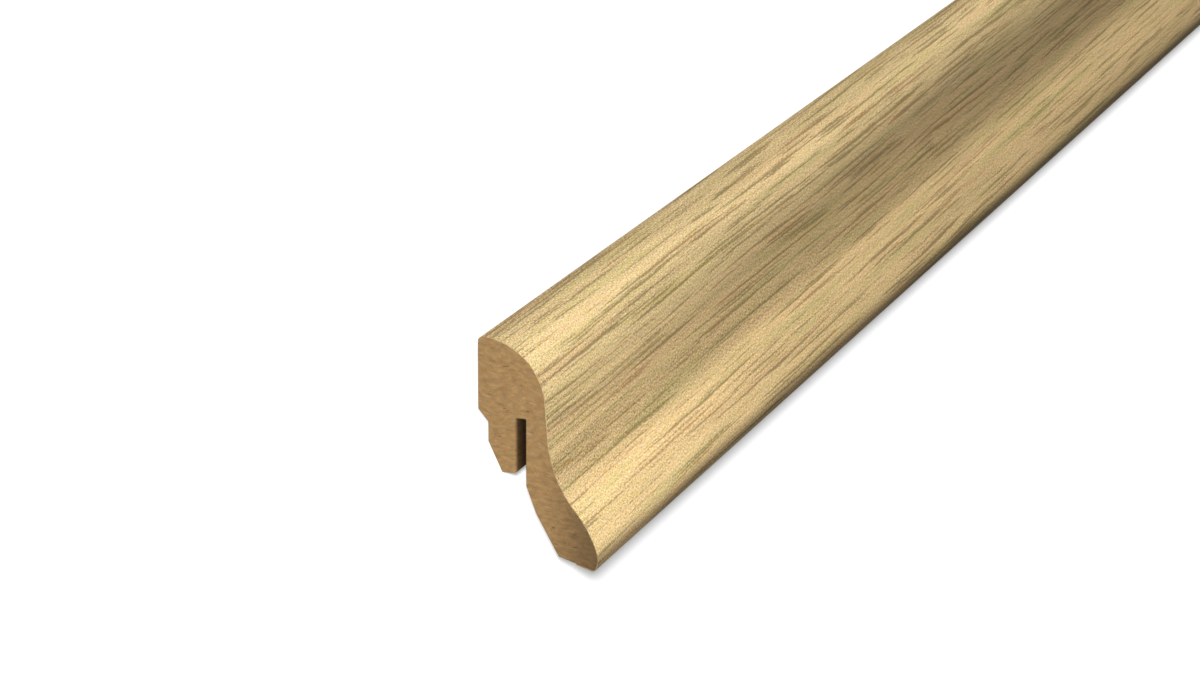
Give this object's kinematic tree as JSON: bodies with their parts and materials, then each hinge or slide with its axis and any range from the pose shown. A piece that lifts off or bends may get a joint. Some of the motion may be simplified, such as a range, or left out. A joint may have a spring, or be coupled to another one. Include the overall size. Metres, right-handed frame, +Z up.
{
  "type": "skirting board length",
  "caption": "Clip-on skirting board length with a rounded head, concave face and swelling foot, milled from MDF and wrapped in an oak-look foil.",
  "frame": {"origin": "bottom centre of the loose length as it lies decor side up on the chamfer of its tongue", "axes": "+X along the length, +Y towards the head (the mounted board's top edge), -Y towards the toe, +Z up from the floor it lies on"},
  "size_m": [2.4, 0.0446, 0.0132],
  "materials": {
    "mdf": "sawn and milled medium-density fibreboard, bare",
    "oak_foil": "matt printed oak decor foil"
  },
  "bodies": {
    "root": {"mdf_core": "mdf", "decor_foil": "oak_foil"}
  },
  "joints": []
}
